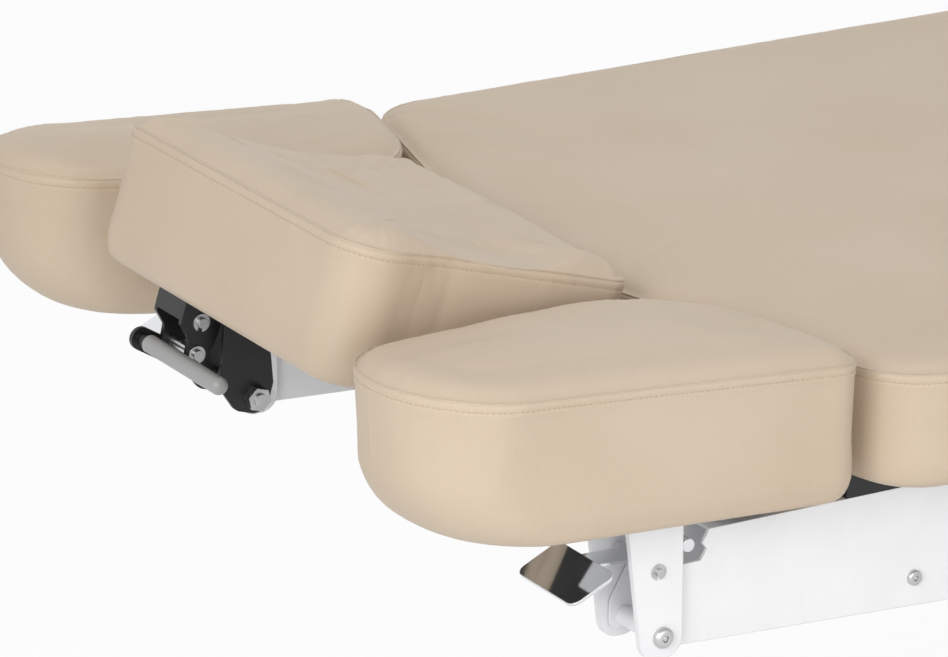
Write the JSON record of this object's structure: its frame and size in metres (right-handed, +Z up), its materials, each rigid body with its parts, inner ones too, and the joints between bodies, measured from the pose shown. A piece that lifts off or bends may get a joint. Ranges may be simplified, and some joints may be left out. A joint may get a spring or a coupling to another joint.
{
  "type": "electric facial bed",
  "caption": "Padded electric facial bed with a tilting headrest, drop-down armrests, reclining back and lowering leg section on a telescopic lifting base.",
  "frame": {"origin": "on the floor under the middle of the bed", "axes": "+X towards the foot end, +Y to the left of a person lying on it, +Z up"},
  "size_m": [1.8678, 0.78, 0.7415],
  "materials": {
    "leatherette": "soft satin beige leatherette",
    "board_wood": "black-stained plywood",
    "white_steel": "white powder coat",
    "black_steel": "black powder coat",
    "chrome": "polished",
    "zinc_steel": "zinc plated",
    "grip_vinyl": "dipped grey vinyl",
    "black_plastic": "fine texture",
    "grey_aluminium": "anodised",
    "glide_plastic": "natural",
    "foot_rubber": "matt"
  },
  "bodies": {
    "base": {"base_rails": "white_steel", "base_cross_tubes": "white_steel", "base_end_caps": "black_plastic", "levelling_feet": "foot_rubber", "column_outers": "white_steel", "outer_glides": "glide_plastic", "column_bolts": "zinc_steel", "lift_drives": "black_plastic", "control_box": "black_plastic", "mains_inlet": "black_plastic"},
    "lift_middle": {"column_middles": "white_steel", "middle_glides": "glide_plastic"},
    "chassis": {"column_inners": "white_steel", "lift_push_rods": "zinc_steel", "chassis_rails": "white_steel", "actuator_saddles": "black_steel", "section_hinge_pins": "zinc_steel", "back_actuator": "grey_aluminium", "back_motor": "black_plastic", "leg_actuator": "grey_aluminium", "leg_motor": "black_plastic", "seat_board": "board_wood", "seat_cushion": "leatherette"},
    "back_rod": {"back_actuator_rod": "zinc_steel"},
    "leg_rod": {"leg_actuator_rod": "zinc_steel"},
    "backrest": {"backrest_arm_left": "white_steel", "backrest_arm_right": "white_steel", "arm_screws": "zinc_steel", "backrest_cross_head": "black_steel", "backrest_cross_tail": "black_steel", "headrest_hinge_lugs": "black_steel", "backrest_board": "board_wood", "backrest_cushion": "leatherette"},
    "legrest": {"legrest_rails": "white_steel", "legrest_cross_tube": "white_steel", "legrest_board": "board_wood", "legrest_cushion": "leatherette"},
    "headrest": {"headrest_cushion": "leatherette", "headrest_board": "board_wood", "headrest_mount_bar": "zinc_steel", "headrest_bracket": "black_steel", "bracket_pins": "zinc_steel", "release_plates": "black_steel", "release_bolt": "zinc_steel", "headrest_hinge_straps": "black_steel", "headrest_hinge_pin": "zinc_steel"},
    "release_handle": {"release_lever": "black_steel", "release_grip": "grip_vinyl"},
    "armrest_left": {"armrest_left_cushion": "leatherette", "armrest_left_board": "board_wood", "armrest_left_bracket": "white_steel", "armrest_left_pivot_bolt": "zinc_steel", "armrest_left_lever_pin": "zinc_steel"},
    "paddle_left": {"armrest_left_lever": "chrome"},
    "armrest_right": {"armrest_right_cushion": "leatherette", "armrest_right_board": "board_wood", "armrest_right_bracket": "white_steel", "armrest_right_pivot_bolt": "zinc_steel", "armrest_right_lever_pin": "zinc_steel"},
    "paddle_right": {"armrest_right_lever": "chrome"}
  },
  "joints": [
    {"name": "lift", "type": "slide", "parent": "base", "child": "chassis", "axis": [0, 0, 1], "range_m": [0, 0.3]},
    {"name": "lift_middle", "type": "slide", "parent": "base", "child": "lift_middle", "axis": [0, 0, 1], "range_m": [0, 0.15]},
    {"name": "backrest_recline", "type": "hinge", "parent": "chassis", "child": "backrest", "pos_m": [0.039, 0, 0.598], "axis": [0, 1, 0], "range_deg": [0, 60]},
    {"name": "back_rod_push", "type": "slide", "parent": "chassis", "child": "back_rod", "axis": [-1, 0, 0], "range_m": [0, 0.1045]},
    {"name": "legrest_drop", "type": "hinge", "parent": "chassis", "child": "legrest", "pos_m": [0.476, 0, 0.598], "axis": [0, 1, 0], "range_deg": [0, 60]},
    {"name": "leg_rod_pull", "type": "slide", "parent": "chassis", "child": "leg_rod", "axis": [-1, 0, 0], "range_m": [0, 0.1045]},
    {"name": "headrest_tilt", "type": "hinge", "parent": "backrest", "child": "headrest", "pos_m": [-0.64804, 0, 0.53759], "axis": [0, -1, 0], "range_deg": [0, 45]},
    {"name": "release_handle", "type": "hinge", "parent": "headrest", "child": "release_handle", "pos_m": [-0.84204, 0.08, 0.54775], "axis": [0, -1, 0], "range_deg": [0, 12], "stiffness_Nm_per_rad": 1.5, "springref_deg": -11.46},
    {"name": "armrest_drop_left", "type": "hinge", "parent": "backrest", "child": "armrest_left", "pos_m": [-0.716, 0.302, 0.458], "axis": [0, -1, 0], "range_deg": [0, 90]},
    {"name": "paddle_left", "type": "hinge", "parent": "armrest_left", "child": "paddle_left", "pos_m": [-0.72, 0.302, 0.509], "axis": [0, 1, 0], "range_deg": [0, 8], "stiffness_Nm_per_rad": 1.2, "springref_deg": -5.73},
    {"name": "armrest_drop_right", "type": "hinge", "parent": "backrest", "child": "armrest_right", "pos_m": [-0.716, -0.302, 0.458], "axis": [0, -1, 0], "range_deg": [0, 90]},
    {"name": "paddle_right", "type": "hinge", "parent": "armrest_right", "child": "paddle_right", "pos_m": [-0.72, -0.302, 0.509], "axis": [0, 1, 0], "range_deg": [0, 8], "stiffness_Nm_per_rad": 1.2, "springref_deg": -5.73}
  ],
  "couplings": [
    {"joint": "lift_middle", "follows": "lift", "ratio": 0.5},
    {"joint": "back_rod_push", "follows": "backrest_recline", "m_per_rad": 0.099244},
    {"joint": "leg_rod_pull", "follows": "legrest_drop", "m_per_rad": 0.099244}
  ]
}
